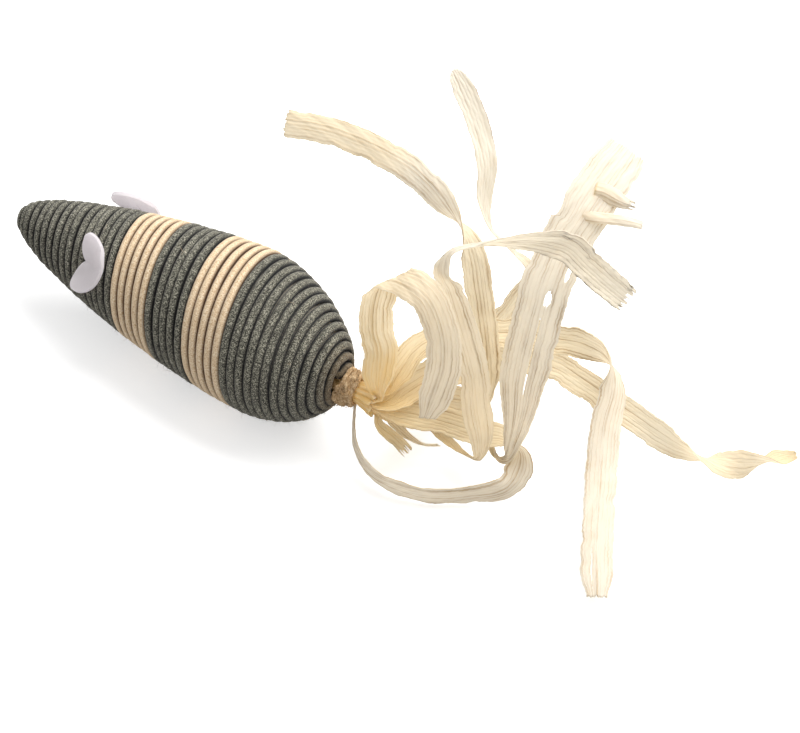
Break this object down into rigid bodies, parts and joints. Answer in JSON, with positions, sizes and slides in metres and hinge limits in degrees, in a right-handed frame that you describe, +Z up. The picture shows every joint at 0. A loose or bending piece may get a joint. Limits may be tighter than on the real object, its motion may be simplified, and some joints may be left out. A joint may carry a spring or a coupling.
{
  "type": "catnip mouse",
  "caption": "Cat toy mouse: an egg-shaped body wound with grey and beige paper cord, felt ears, and a tail of loose dried husk strips tied at the neck",
  "frame": {"origin": "on the floor, in the middle of the flat under one of the widest turns of the cord, which the mouse lies on", "axes": "+Z up, body axis along X with the nose towards -X and the tail towards +X, near side of the picture towards -Y"},
  "size_m": [0.1771, 0.0693, 0.0674],
  "materials": {
    "grey_cord": "matt twisted paper, grey-green, slightly fuzzy",
    "beige_cord": "matt twisted paper, beige, slightly fuzzy",
    "tie_cord": "frayed brown paper string",
    "stuffing": "light matt stuffing",
    "catnip": "dried crushed leaf",
    "felt": "soft pale felt",
    "husk": "dried corn husk, ribbed, papery, faintly translucent"
  },
  "bodies": {
    "mouse": {"cord_grey_nose": "grey_cord", "cord_beige_front": "beige_cord", "cord_grey_middle": "grey_cord", "cord_beige_rear": "beige_cord", "cord_grey_rump": "grey_cord", "core": "stuffing", "catnip_fill": "catnip", "tail_root": "husk"},
    "near_ear": {"ear_near": "felt"},
    "far_ear": {"ear_far": "felt"},
    "tie": {"tail_tie": "tie_cord"},
    "tail": {"tail_throat": "husk", "husk_arch": "husk", "husk_crook": "husk", "husk_leaner": "husk", "husk_top": "husk", "husk_ring": "husk", "husk_broad": "husk", "husk_droop": "husk", "husk_long": "husk", "husk_tie_end": "husk", "husk_sliver": "husk"}
  },
  "joints": [
    {"name": "near_ear_lift", "type": "hinge", "parent": "mouse", "child": "near_ear", "pos_m": [-0.03967, -0.00928, 0.02455], "axis": [0.1935, -0.6589, -0.7269], "range_deg": [0, 35], "stiffness_Nm_per_rad": 0.0005},
    {"name": "far_ear_lift", "type": "hinge", "parent": "mouse", "child": "far_ear", "pos_m": [-0.04208, 0.0101, 0.02219], "axis": [-0.3935, -0.5132, 0.7627], "range_deg": [0, 35], "stiffness_Nm_per_rad": 0.0005},
    {"name": "tail_swing", "type": "hinge", "parent": "mouse", "child": "tie", "pos_m": [0.02791, -0.0031, 0.01693], "axis": [0, 0, 1], "range_deg": [-15, 15], "stiffness_Nm_per_rad": 0.004},
    {"name": "tail_lift", "type": "hinge", "parent": "tie", "child": "tail", "pos_m": [0.02791, -0.0031, 0.01693], "axis": [0, -1, 0], "range_deg": [0, 18], "stiffness_Nm_per_rad": 0.004}
  ]
}
